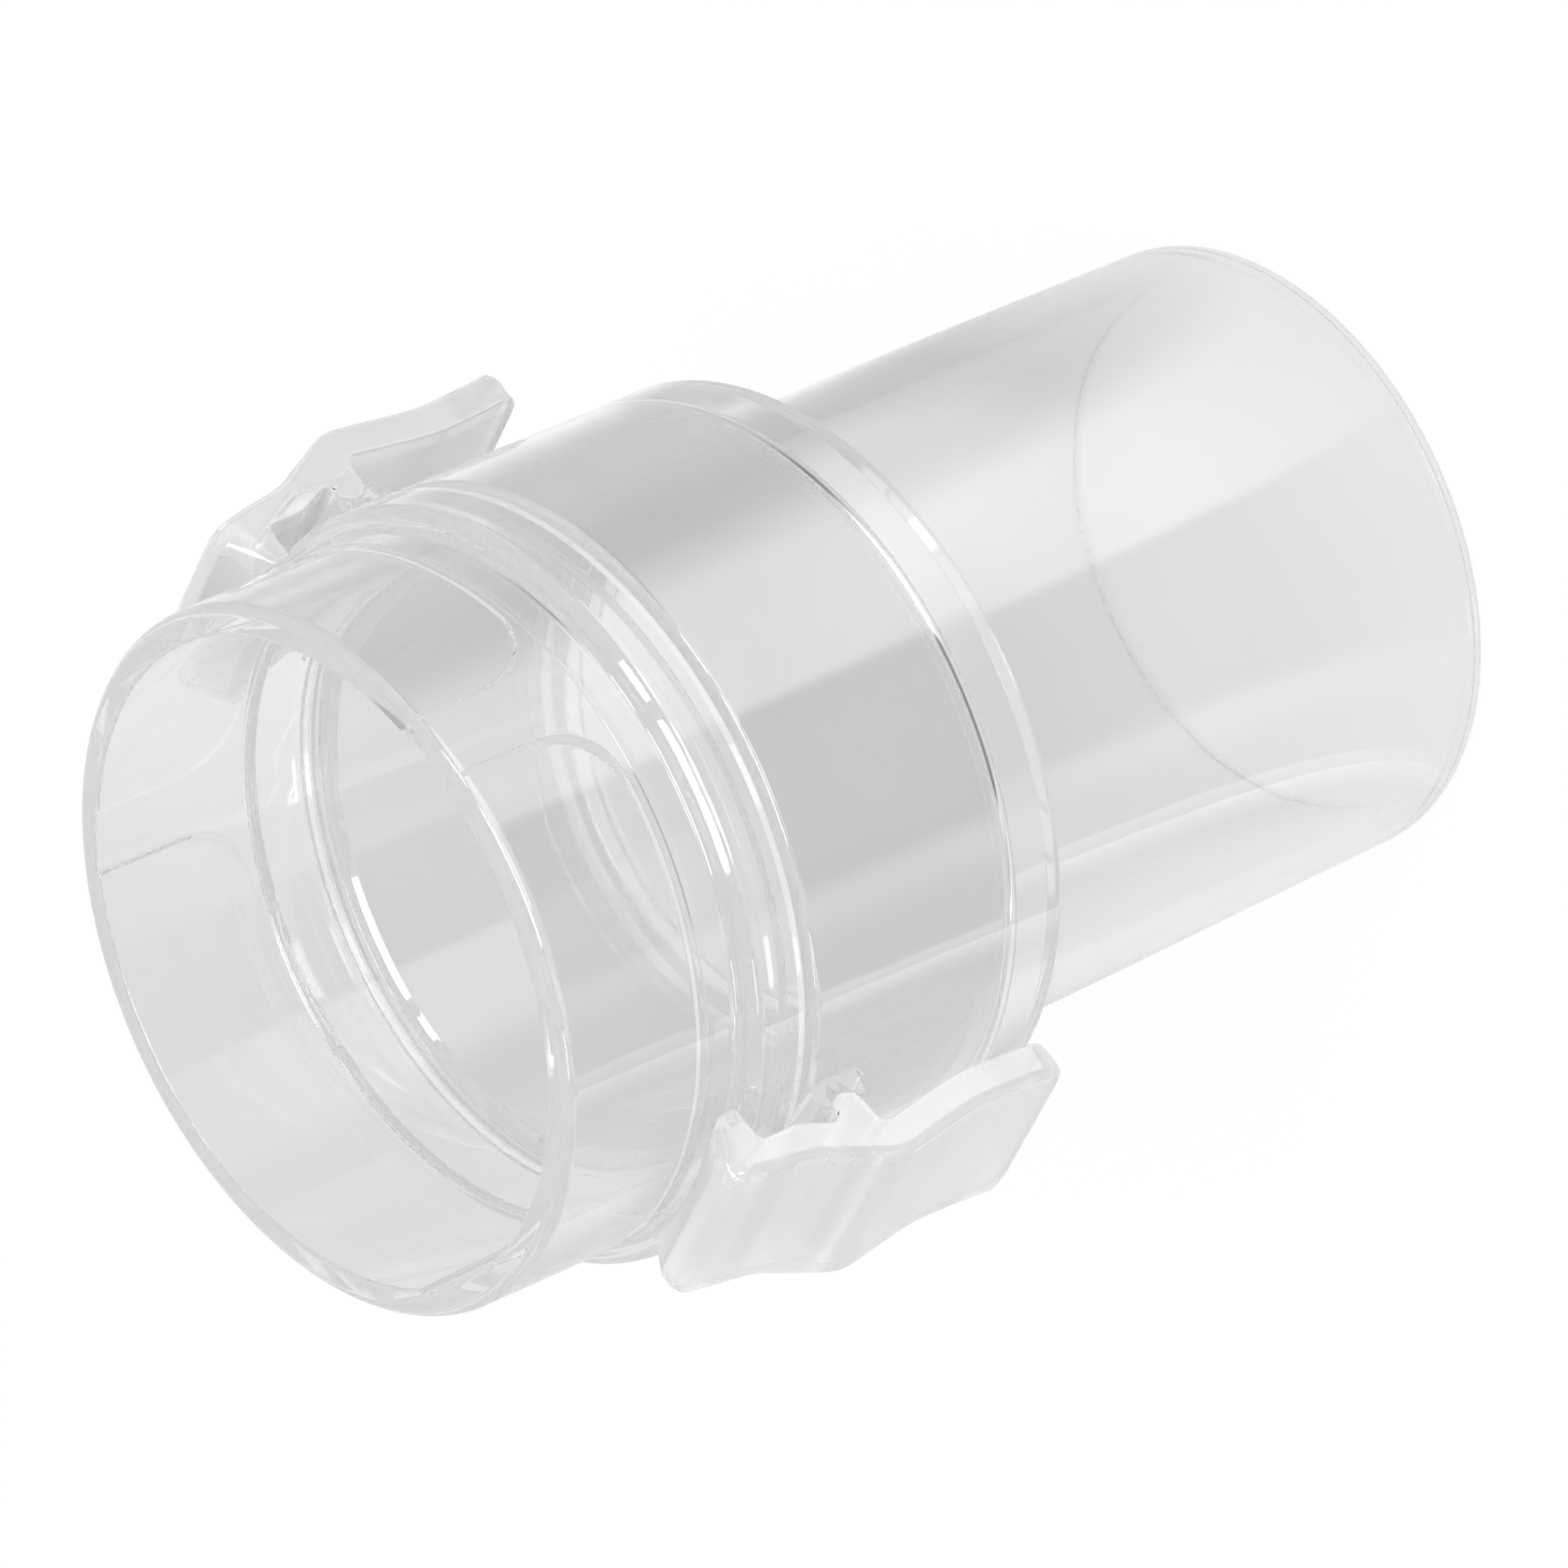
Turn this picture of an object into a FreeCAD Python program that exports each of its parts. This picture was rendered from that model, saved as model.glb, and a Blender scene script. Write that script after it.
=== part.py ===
import FreeCAD, Part
import os
import re

import Sketcher
from FreeCAD import Placement, Rotation, Vector

# A clear quick-release swivel connector for breathing tubing, in millimetres.
#
# The connector's axis is Z. The hose end stands on z = 0 and the socket's mouth points up.
# The hose half is the collar with the conical hose tube under it. The socket half turns
# inside the collar. Two release levers rock on the collar, at +X and -X, and their hooks
# reach over the socket's flange.

SIZES = {
    # Hose tube, a 22 mm male cone that grows toward the collar
    "hose_length": 21.7,
    "hose_tip_radius": 11.0,
    "cone_taper": 0.0125,
    "hose_wall": 1.2,
    "hose_tip_break": 0.35,
    # Collar round the swivel
    "collar_step": 0.9,
    "collar_length": 10.95,
    "collar_wall": 0.95,
    "end_wall": 1.3,
    "collar_corner": 0.8,
    "edge_break": 0.15,
    # Swivel between the two halves
    "swivel_gap": 0.1,
    "spigot_end_gap": 0.4,
    "spigot_lead": 0.5,
    "flange_gap": 0.3,
    "flange_thickness": 2.3,
    "flange_break": 0.2,
    # Socket for the mask's elbow
    "socket_length": 7.15,
    "socket_wall": 1.05,
    "socket_flare": 0.1,
    "mouth_bore_radius": 11.25,
    "mouth_round": 0.4,
    "socket_depth": 9.5,
    "stop_step": 0.63,
    # Shallow grip pads in the socket's mouth
    "pad_depth": 0.15,
    "pad_length": 5.95,
    "pad_groove": 0.35,
    "pad_spacing": 2.35,
    "pad_corner": 2.4,
    "pad_turn": 89.0,
    # Release levers, with heights above the collar and reaches from the hinge axis
    "lever_width": 7.0,
    "lever_thickness": 1.3,
    "hinge_setback": 0.85,
    "hinge_rise": 0.75,
    "knuckle_radius": 0.6,
    "hinge_gap": 0.05,
    "seat_rise": 0.5,
    "seat_heel": 1.25,
    "nose_rise": 1.3,
    "knee_lift": 0.47,
    "knee_reach": 2.15,
    "dip_rise": 2.52,
    "dip_reach": 4.35,
    "crest_lift": 0.53,
    "crest_reach": 0.65,
    "tail_lift": 0.23,
    "tail_reach": 8.25,
    "knee_round": 3.0,
    "crest_round": 2.0,
    "dip_round": 8.0,
    "lever_corner": 1.0,
    "lever_edge": 0.3,
    # Hook at each lever's nose
    "hook_gap": 0.2,
    "hook_length": 1.85,
    "hook_bite": 0.45,
    "hook_ramp": 0.9,
    "hook_flare": 1.0,
}

PAD_COUNT = 3
LEVER_COUNT = 2

# Levels along the axis and radii that the pieces share, worked out from the sizes above
COLLAR_FRONT = "hose_length + collar_length"
COLLAR_FLOOR = "hose_length + end_wall"
COLLAR_RADIUS = "mouth_bore_radius + socket_wall + collar_step"
COLLAR_BORE = COLLAR_RADIUS + " - collar_wall"
HOSE_BORE = "hose_tip_radius - hose_wall"
STOP_RADIUS = "mouth_bore_radius - socket_depth * cone_taper"
AIRWAY_RADIUS = STOP_RADIUS + " - stop_step"
FLANGE_REAR = COLLAR_FRONT + " + flange_gap"
FLANGE_FRONT = FLANGE_REAR + " + flange_thickness"
MOUTH = FLANGE_FRONT + " + socket_length"
HINGE_LEVEL = COLLAR_FRONT + " - hinge_setback"
HINGE_RADIUS = COLLAR_RADIUS + " + hinge_rise"
CATCH_LEVEL = FLANGE_FRONT + " + hook_gap"
NOSE_LEVEL = CATCH_LEVEL + " + hook_length"
HOOK_TIP = COLLAR_RADIUS + " - hook_bite"

doc = FreeCAD.newDocument("quick_release_connector")
sheet = doc.addObject("Spreadsheet::Sheet", "Sizes")
for row, (alias, number) in enumerate(SIZES.items(), start=1):
    sheet.set(f"A{row}", alias)
    sheet.set(f"B{row}", str(number))
    sheet.setAlias(f"B{row}", alias)
doc.recompute()

ALIAS_PATTERN = re.compile(r"\b(" + "|".join(SIZES) + r")\b")


def bound(text):
    """The text as an expression of the spreadsheet's cells."""
    return ALIAS_PATTERN.sub(r"Sizes.\1", text)


def value(text):
    """What the text comes to now, in millimetres or degrees."""
    return float(sheet.evalExpression(bound(text)))


def new_body(label):
    """An empty body that carries a sub-part's name."""
    body = doc.addObject("PartDesign::Body", label)
    body.Label = label
    return body


def origin_part(body, role):
    """A plane or axis of the body's own origin, by its role."""
    return next(item for item in body.Origin.OriginFeatures if item.Role == role)


def section_sketch(body, name):
    """An empty sketch on the XZ plane, where X is the radius and Y the level."""
    sketch = body.newObject("Sketcher::SketchObject", name)
    sketch.AttachmentSupport = [(origin_part(body, "XZ_Plane"), "")]
    sketch.MapMode = "FlatFace"
    return sketch


def place_point(sketch, element, point, radius, level):
    """Hold a sketch point at a radius and level, both given as texts."""
    for kind, zero_line, text in (("DistanceX", -2, radius), ("DistanceY", -1, level)):
        if text == "0":
            sketch.addConstraint(Sketcher.Constraint("PointOnObject", element, point, zero_line))
            continue
        constraint = Sketcher.Constraint(kind, -1, 1, element, point, value(text))
        number = sketch.addConstraint(constraint)
        sketch.setExpression(f"Constraints[{number}]", bound(text))


def outline(body, name, corners):
    """A closed outline with straight sides, as corner name to (radius, level)."""
    sketch = section_sketch(body, name)
    places = [Vector(value(radius), value(level), 0) for radius, level in corners.values()]
    count = len(places)
    for index in range(count):
        sketch.addGeometry(Part.LineSegment(places[index], places[(index + 1) % count]))
    for index in range(count):
        following = (index + 1) % count
        sketch.addConstraint(Sketcher.Constraint("Coincident", index, 2, following, 1))
    for index, (radius, level) in enumerate(corners.values()):
        place_point(sketch, index, 1, radius, level)
    doc.recompute()
    return sketch


def hinge_circle(body, name, radius):
    """A circle round the lever's hinge axis."""
    sketch = section_sketch(body, name)
    centre = Vector(value(HINGE_RADIUS), value(HINGE_LEVEL), 0)
    sketch.addGeometry(Part.Circle(centre, Vector(0, 0, 1), value(radius)))
    place_point(sketch, 0, 3, HINGE_RADIUS, HINGE_LEVEL)
    number = sketch.addConstraint(Sketcher.Constraint("Radius", 0, value(radius)))
    sketch.setExpression(f"Constraints[{number}]", bound(radius))
    doc.recompute()
    return sketch


def finish_feature(body, feature):
    """Make the feature the body's result."""
    body.Tip = feature
    doc.recompute()
    return feature


def revolve(body, kind, name, sketch, angle="360"):
    """Turn the outline about the connector's axis, evenly to both sides of its plane."""
    turned = body.newObject("PartDesign::" + kind, name)
    turned.Profile = sketch
    turned.ReferenceAxis = (sketch, ["V_Axis"])
    turned.Midplane = True
    turned.setExpression("Angle", bound(angle))
    return finish_feature(body, turned)


def extrude(body, kind, name, sketch, width):
    """Carry the outline evenly to both sides of the XZ plane, to add or to cut."""
    extrusion = body.newObject("PartDesign::" + kind, name)
    extrusion.Profile = sketch
    extrusion.SideType = "Symmetric"
    extrusion.setExpression("Length", bound(width))
    return finish_feature(body, extrusion)


def repeat_round_axis(body, name, features, count):
    """Repeat the features evenly round the connector's axis."""
    pattern = body.newObject("PartDesign::PolarPattern", name)
    pattern.Originals = features
    pattern.Axis = (origin_part(body, "Z_Axis"), [""])
    pattern.Angle = 360
    pattern.Occurrences = count
    return finish_feature(body, pattern)


def dress_edges(body, kind, name, edges, size):
    """A fillet or chamfer on the named edges of the body's result."""
    if not edges:
        raise RuntimeError("no edge found for " + name)
    base = body.Tip
    dressing = body.newObject("PartDesign::" + kind, name)
    dressing.Base = (base, edges)
    dressing.setExpression("Radius" if kind == "Fillet" else "Size", bound(size))
    return finish_feature(body, dressing)


def rings(shape, radius, level):
    """Edges that run round the axis at a radius and level."""
    found = []
    for number, edge in enumerate(shape.Edges, start=1):
        if not isinstance(edge.Curve, Part.Circle):
            continue
        centre = edge.Curve.Center
        near_axis = Vector(centre.x, centre.y, 0).Length < 1e-5
        same_level = abs(centre.z - value(level)) < 1e-5
        if near_axis and same_level and abs(edge.Curve.Radius - value(radius)) < 1e-5:
            found.append(f"Edge{number}")
    return found


def crosswise(shape, radius, level):
    """Edges along Y that pass through a radius and level of the XZ plane."""
    target = Vector(value(radius), 0, value(level))
    found = []
    for number, edge in enumerate(shape.Edges, start=1):
        middle = edge.BoundBox.Center
        straight = edge.BoundBox.YLength > edge.Length * 0.99
        if straight and Vector(middle.x, 0, middle.z).distanceToPoint(target) < 1e-4:
            found.append(f"Edge{number}")
    return found


def hose_half():
    """The collar, its end wall and the hose tube, moulded as one, with the levers' seats."""
    body = new_body("hose_half")
    tube_root = "hose_tip_radius + hose_length * cone_taper"
    section = outline(body, "hose_half_section", {
        "tip_inside": (HOSE_BORE, "0"),
        "tip_outside": ("hose_tip_radius", "0"),
        "tube_root": (tube_root, "hose_length"),
        "shoulder": (COLLAR_RADIUS, "hose_length"),
        "collar_edge": (COLLAR_RADIUS, COLLAR_FRONT),
        "collar_mouth": (COLLAR_BORE, COLLAR_FRONT),
        "floor_outside": (COLLAR_BORE, COLLAR_FLOOR),
        "floor_inside": (HOSE_BORE, COLLAR_FLOOR),
    })
    revolve(body, "Revolution", "hose_half_turned", section)
    for kind, name, radius, level, size in (
        ("Chamfer", "hose_tip_break", "hose_tip_radius", "0", "hose_tip_break"),
        ("Chamfer", "shoulder_break", COLLAR_RADIUS, "hose_length", "edge_break"),
        ("Chamfer", "collar_front_break", COLLAR_RADIUS, COLLAR_FRONT, "edge_break"),
        ("Chamfer", "collar_floor_corner", COLLAR_BORE, COLLAR_FLOOR, "collar_corner"),
    ):
        dress_edges(body, kind, name, rings(body.Shape, radius, level), size)

    # Each seat is a low block on the collar's skin with a groove for the lever's knuckle.
    foot = COLLAR_RADIUS + " - collar_wall * 3 / 4"
    block_section = outline(body, "lever_seat_section", {
        "foot_front": (foot, COLLAR_FRONT),
        "top_front": (COLLAR_RADIUS + " + seat_rise", COLLAR_FRONT),
        "top_rear": (COLLAR_RADIUS + " + seat_rise", HINGE_LEVEL + " - hinge_setback"),
        "heel": (COLLAR_RADIUS, HINGE_LEVEL + " - seat_heel"),
        "foot_rear": (foot, HINGE_LEVEL + " - seat_heel"),
    })
    block = extrude(body, "Pad", "lever_seat", block_section, "lever_width")
    groove_section = hinge_circle(body, "seat_groove_section", "knuckle_radius + hinge_gap")
    groove = extrude(body, "Pocket", "lever_seat_groove", groove_section, "lever_width * 2")
    repeat_round_axis(body, "lever_seats", [block, groove], LEVER_COUNT)
    return body


def socket_half():
    """The turning half: spigot in the collar, flange for the hooks, and the mask socket."""
    body = new_body("socket_half")
    body.AllowCompound = True
    spigot = COLLAR_BORE + " - swivel_gap"
    spigot_end = COLLAR_FLOOR + " + spigot_end_gap"
    socket_root = "mouth_bore_radius + socket_wall + socket_flare"
    socket_rim = "mouth_bore_radius + socket_wall"
    pad_end = MOUTH + " - pad_length"
    ledge = pad_end + " - pad_groove"
    stop = MOUTH + " - socket_depth"
    ledge_radius = "mouth_bore_radius - (pad_length + pad_groove) * cone_taper"

    # The grip pads come first: each stands on its own arc of the mouth, between two gaps.
    in_wall = "mouth_bore_radius + pad_depth + socket_wall / 4"
    pad_face_end = "mouth_bore_radius - pad_length * cone_taper"
    pad_section = outline(body, "grip_pad_section", {
        "front_inside": ("mouth_bore_radius", MOUTH),
        "front_in_wall": (in_wall, MOUTH),
        "end_in_wall": (in_wall, pad_end),
        "end_inside": (pad_face_end, pad_end),
    })
    pad_section.AttachmentOffset = Placement(Vector(), Rotation(Vector(0, 1, 0), value("pad_turn")))
    pad_section.setExpression("AttachmentOffset.Rotation.Angle", bound("pad_turn"))
    gap_angle = "pad_spacing / mouth_bore_radius * 180 / pi"
    pad_angle = f"360 / {PAD_COUNT} - {gap_angle}"
    pad = revolve(body, "Revolution", "grip_pad", pad_section, pad_angle)
    repeat_round_axis(body, "grip_pads", [pad], PAD_COUNT)
    corners = pad_corners(body.Shape, pad_face_end, pad_end)
    dress_edges(body, "Fillet", "grip_pad_corners", corners, "pad_corner")

    section = outline(body, "socket_half_section", {
        "spigot_inside": (AIRWAY_RADIUS, spigot_end),
        "spigot_outside": (spigot, spigot_end),
        "spigot_root": (spigot, FLANGE_REAR),
        "flange_rear": (COLLAR_RADIUS, FLANGE_REAR),
        "flange_front": (COLLAR_RADIUS, FLANGE_FRONT),
        "socket_root": (socket_root, FLANGE_FRONT),
        "rim_outside": (socket_rim, MOUTH),
        "rim_inside": ("mouth_bore_radius + pad_depth", MOUTH),
        "groove_end": (ledge_radius + " + pad_depth", ledge),
        "ledge": (ledge_radius, ledge),
        "stop_outside": (STOP_RADIUS, stop),
        "stop_inside": (AIRWAY_RADIUS, stop),
    })
    revolve(body, "Revolution", "socket_half_turned", section)
    for kind, name, radius, level, size in (
        ("Chamfer", "spigot_lead_in", spigot, spigot_end, "spigot_lead"),
        ("Chamfer", "flange_rear_break", COLLAR_RADIUS, FLANGE_REAR, "flange_break"),
        ("Chamfer", "flange_front_break", COLLAR_RADIUS, FLANGE_FRONT, "flange_break"),
        ("Fillet", "rim_rounding", socket_rim, MOUTH, "mouth_round"),
    ):
        dress_edges(body, kind, name, rings(body.Shape, radius, level), size)
    return body


def pad_corners(shape, radius, level):
    """The short radial edges where each pad's sides meet its rear end."""
    found = []
    for number, edge in enumerate(shape.Edges, start=1):
        distances = sorted(Vector(end.Point.x, end.Point.y, 0).Length for end in edge.Vertexes)
        radial = abs(distances[-1] - distances[0] - edge.Length) < 1e-4
        from_face = abs(distances[0] - value(radius)) < 1e-4
        at_end = abs(edge.BoundBox.Center.z - value(level)) < 1e-4
        if radial and from_face and at_end:
            found.append(f"Edge{number}")
    return found


def release_lever():
    """One lever: a bent strip with a hook at its nose and a knuckle under its crest."""
    body = new_body("release_lever_right")
    ahead = HINGE_LEVEL + " + "
    behind = HINGE_LEVEL + " - "
    outer = {
        "nose": (COLLAR_RADIUS + " + nose_rise", NOSE_LEVEL),
        "knee": (COLLAR_RADIUS + " + nose_rise + knee_lift", ahead + "knee_reach"),
        "crest": (COLLAR_RADIUS + " + dip_rise + crest_lift", behind + "crest_reach"),
        "dip": (COLLAR_RADIUS + " + dip_rise", behind + "dip_reach"),
        "tail": (COLLAR_RADIUS + " + dip_rise + tail_lift", behind + "tail_reach"),
    }
    under = {corner: (height + " - lever_thickness", level) for corner, (height, level) in outer.items()}
    web_rise = " + (nose_rise + knee_lift + dip_rise + crest_lift) / 2"
    web_top = COLLAR_RADIUS + web_rise + " - lever_thickness"
    hook_bottom = HOOK_TIP + " - 2 * hook_bite"
    strip = outline(body, "lever_section", {
        **outer,
        "tail_under": under["tail"],
        "dip_under": under["dip"],
        "crest_under": under["crest"],
        "web_rear": (HINGE_RADIUS, behind + "knuckle_radius"),
        "web_front": (HINGE_RADIUS, ahead + "knuckle_radius"),
        "web_top": (web_top, ahead + "knuckle_radius"),
        "knee_under": under["knee"],
        "catch_root": (under["knee"][0], CATCH_LEVEL),
        "catch_tip": (hook_bottom, CATCH_LEVEL),
        "nose_under": (hook_bottom, NOSE_LEVEL),
    })
    extrude(body, "Pad", "lever_strip", strip, "lever_width")
    knuckle = hinge_circle(body, "knuckle_section", "knuckle_radius")
    extrude(body, "Pad", "knuckle", knuckle, "lever_width")

    # The hook's tip follows the socket's round wall, with a cone that leads the flange in.
    ramp_rear = NOSE_LEVEL + " - hook_ramp"
    beyond = NOSE_LEVEL + " + hook_ramp"
    throat = outline(body, "hook_throat_section", {
        "rear_axis": ("0", CATCH_LEVEL + " - hook_gap"),
        "rear": (HOOK_TIP, CATCH_LEVEL + " - hook_gap"),
        "ramp_rear": (HOOK_TIP, ramp_rear),
        "ramp_beyond": (HOOK_TIP + " + hook_flare * 2", beyond),
        "beyond_axis": ("0", beyond),
    })
    revolve(body, "Groove", "hook_throat", throat)

    for name, corner, size in (
        ("nose_corners", "nose", "lever_corner"),
        ("tail_corners", "tail", "lever_corner"),
    ):
        dress_edges(body, "Fillet", name, upright(body.Shape, outer[corner][1]), size)
    for name, (radius, level), size in (
        ("knee_rounding", outer["knee"], "knee_round"),
        ("crest_rounding", outer["crest"], "crest_round"),
        ("dip_rounding", outer["dip"], "dip_round"),
        ("dip_under_rounding", under["dip"], "dip_round + lever_thickness"),
    ):
        dress_edges(body, "Fillet", name, crosswise(body.Shape, radius, level), size)
    rim = outer_rim(body.Shape, outer)
    dress_edges(body, "Chamfer", "outer_rim_break", rim, "lever_edge")
    return body


def upright(shape, level):
    """The short edges at a lever's end that run square to the strip's outer face."""
    found = []
    for number, edge in enumerate(shape.Edges, start=1):
        box = edge.BoundBox
        at_end = box.ZLength < 1e-4 and abs(box.Center.z - value(level)) < 1e-4
        if at_end and abs(box.XLength - edge.Length) < 1e-4:
            found.append(f"Edge{number}")
    return found


def outer_rim(shape, outer):
    """One edge of the strip's outer face, from which the chamfer runs on round the rim."""
    radius = "(%s + %s) / 2" % (outer["dip"][0], outer["tail"][0])
    level = "(%s + %s) / 2" % (outer["dip"][1], outer["tail"][1])
    target = Vector(value(radius), value("lever_width / 2"), value(level))
    for number, edge in enumerate(shape.Edges, start=1):
        if edge.distToShape(Part.Vertex(target))[0] < 1e-3:
            return [f"Edge{number}"]
    return []


hose = hose_half()
socket = socket_half()
lever = release_lever()

left_lever = doc.addObject("Part::Mirroring", "release_lever_left")
left_lever.Label = "release_lever_left"
left_lever.Source = lever
left_lever.Normal = Vector(1, 0, 0)
doc.recompute()

pieces = [hose, socket, lever, left_lever]
for item in doc.Objects:
    if {"Invalid", "Error"} & set(item.State):
        raise RuntimeError("bad state: " + item.Label)
    shape = getattr(item, "Shape", None)
    if shape is not None and (shape.isNull() or not shape.isValid()):
        raise RuntimeError("bad shape: " + item.Label)

os.makedirs("parts", exist_ok=True)
for piece in pieces:
    if len(piece.Shape.Solids) != 1:
        raise RuntimeError("not one solid: " + piece.Label)
    piece.Shape.exportStep("parts/" + piece.Label + ".step")
    print(piece.Label, round(piece.Shape.Volume, 1), "mm3")
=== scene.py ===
import math
from types import SimpleNamespace

import bpy
import numpy as np
from mathutils import Matrix, Vector


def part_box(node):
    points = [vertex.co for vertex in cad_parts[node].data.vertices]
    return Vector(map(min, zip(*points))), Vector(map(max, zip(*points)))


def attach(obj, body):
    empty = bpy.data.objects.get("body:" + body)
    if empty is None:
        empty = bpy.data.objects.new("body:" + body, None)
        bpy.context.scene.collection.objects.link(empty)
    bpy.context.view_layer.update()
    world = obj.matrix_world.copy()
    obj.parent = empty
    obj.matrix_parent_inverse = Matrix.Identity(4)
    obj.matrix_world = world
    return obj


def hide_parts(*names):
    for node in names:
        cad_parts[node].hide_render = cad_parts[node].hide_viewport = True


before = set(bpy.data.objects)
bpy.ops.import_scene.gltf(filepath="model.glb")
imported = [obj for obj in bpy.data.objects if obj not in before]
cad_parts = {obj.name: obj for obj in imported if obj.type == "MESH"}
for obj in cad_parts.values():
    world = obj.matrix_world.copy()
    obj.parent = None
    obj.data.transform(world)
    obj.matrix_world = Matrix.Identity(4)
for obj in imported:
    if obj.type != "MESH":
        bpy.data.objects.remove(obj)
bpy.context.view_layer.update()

bl_info = {
    "name": "Quick-release tubing connector",
    "version": (1, 0, 0),
    "blender": (4, 5, 0),
    "location": "3D View > Sidebar > Connector",
    "description": "Builds a clear quick-release swivel connector for breathing tubing",
    "category": "Add Mesh",
}

# All shapes are worked out in millimetres and turned into metres when the mesh is made
MM = 0.001

# How much the standard 22 mm cones grow in radius along their length
TAPER = 1 / 80

# Faces that meet at more than this angle keep a sharp edge between them
SHARP_ANGLE = math.radians(34)


def length(name, description, millimetres):
    """A length property that is given in millimetres and kept in metres."""
    return bpy.props.FloatProperty(
        name=name,
        description=description,
        default=millimetres * MM,
        min=0.0,
        precision=5,
        unit="LENGTH",
    )


def share(name, description, default):
    """A property that runs from none to all."""
    return bpy.props.FloatProperty(
        name=name, description=description, default=default, min=0.0, max=1.0, precision=3
    )


def angle(name, description, degrees):
    """An angle property that is given in degrees and kept in radians."""
    return bpy.props.FloatProperty(
        name=name, description=description, default=math.radians(degrees), subtype="ANGLE"
    )


def colour(name, description, default):
    """A colour property with linear red, green and blue."""
    return bpy.props.FloatVectorProperty(
        name=name, description=description, default=default, min=0.0, max=1.0, subtype="COLOR"
    )


def top_of(node):
    """The highest level of a CAD node, in millimetres."""
    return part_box(node)[1].z / MM


def half_width_of(node):
    """Half the width of a CAD node along Y, in millimetres."""
    low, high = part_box(node)
    return (high.y - low.y) / 2 / MM


class ConnectorSizes(bpy.types.PropertyGroup):
    """Sizes of the connector that a user would change."""

    # Hose half
    hose_length: length("Hose tube", "Length of the conical hose tube", 21.7)
    tip_radius: length("Tube end radius", "Outer radius at the tube's open end", 11.0)
    tube_wall: length("Tube wall", "Wall of the hose tube at its open end", 1.2)
    collar_front: length("Collar front", "Level of the collar's front face", top_of("hose_half"))
    collar_radius: length("Collar radius", "Outer radius of the collar and flange", 13.2)
    collar_wall: length("Collar wall", "Wall of the collar round the swivel", 0.95)
    collar_edge: length("Collar edge", "Rounding of the collar's front edge", 0.3)
    floor_thickness: length("Floor", "Wall between the collar and the tube", 1.3)
    floor_corner: length("Floor corner", "Rounding between the floor and the collar", 0.95)
    seat_rise: length("Seat rise", "Height of a lever's seat over the collar", 0.5)
    seat_heel: length("Seat heel", "From the hinge back to the seat's rear end", 1.25)
    seat_slope: length("Seat slope", "Length over which the seat's rear end rises", 0.4)
    groove_radius: length("Groove radius", "Radius of the seat's groove", 0.65)
    # Socket half
    swivel_gap: length("Swivel gap", "Clearance round the spigot", 0.1)
    spigot_start: length("Spigot start", "From the tube's root to the spigot", 1.7)
    flange_gap: length("Flange gap", "Clearance behind the flange", 0.3)
    flange_thickness: length("Flange thickness", "Thickness of the flange", 2.3)
    flange_bevel: length("Flange bevel", "Slope on the flange's front edge", 0.32)
    mouth: length("Mouth", "Level of the socket's mouth", top_of("socket_half"))
    mouth_bore: length("Mouth bore", "Radius of the socket's bore at its mouth", 11.25)
    socket_wall: length("Socket wall", "Wall of the socket at its rim", 1.05)
    socket_flare: length("Socket flare", "Growth of the socket's wall to its root", 0.1)
    socket_depth: length("Socket depth", "From the mouth to the elbow's stop", 9.5)
    stop_step: length("Stop step", "Width of the elbow's stop", 0.63)
    stop_bevel: length("Stop bevel", "Slope on the stop's inner edge", 0.22)
    ledge_depth: length("Ledge depth", "From the mouth to the padded bore's end", 6.3)
    pad_length: length("Pad length", "Length of the grip pads", 5.95)
    pad_spacing: length("Pad spacing", "Gap between two grip pads", 2.35)
    pad_depth: length("Pad depth", "How far the grip pads stand proud of the bore", 0.15)
    pad_corner: length("Pad corner", "Rounding of the grip pads' rear corners", 2.4)
    # Levers, with rises over the collar and reaches from the hinge
    hinge_setback: length("Hinge setback", "From the collar's front to the hinge", 0.85)
    hinge_rise: length("Hinge rise", "Height of the hinge", 0.75)
    knuckle_radius: length("Knuckle radius", "Radius of the lever's knuckle", 0.6)
    nose_rise: length("Nose rise", "Height of the nose", 1.3)
    knee_rise: length("Knee rise", "Height of the bend behind the nose", 1.77)
    knee_reach: length("Knee reach", "Forward to the knee", 2.15)
    crest_rise: length("Crest rise", "Height of the bend over the knuckle", 3.05)
    crest_reach: length("Crest reach", "Back to the crest", 0.65)
    dip_rise: length("Dip rise", "Height of the finger's dip", 2.52)
    dip_reach: length("Dip reach", "Back to the dip", 4.35)
    dip_rounding: length("Dip rounding", "Rounding of the finger's dip", 8.0)
    tail_rise: length("Tail rise", "Height of the tail", 2.75)
    tail_reach: length("Tail reach", "Back to the tail's end", 8.25)
    lever_thickness: length("Lever thickness", "Thickness of the bent strip", 1.3)
    web_rise: length("Web rise", "Height where the knuckle's web meets the strip", 1.11)
    hook_gap: length("Hook gap", "Clearance of the hook over the flange", 0.2)
    hook_length: length("Hook length", "Length of the hook", 1.85)
    hook_bite: length("Hook bite", "How far the hook reaches in over the flange", 0.45)
    hook_ramp: length("Hook ramp", "Length of the hook's lead-in slope", 0.9)
    hook_flare: length("Hook flare", "Height of the hook's lead-in slope", 1.0)
    lever_half_width: length(
        "Lever half width", "Half the width of a lever", half_width_of("release_lever_right")
    )
    lever_rim: length("Lever rim", "Rounding of the levers' outer rim", 0.3)
    inner_rim: length("Inner rim", "Rounding of the levers' inner rim", 0.09)
    lever_corner: length("Lever corner", "Rounding of the levers' corners in plan", 1.0)


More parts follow.
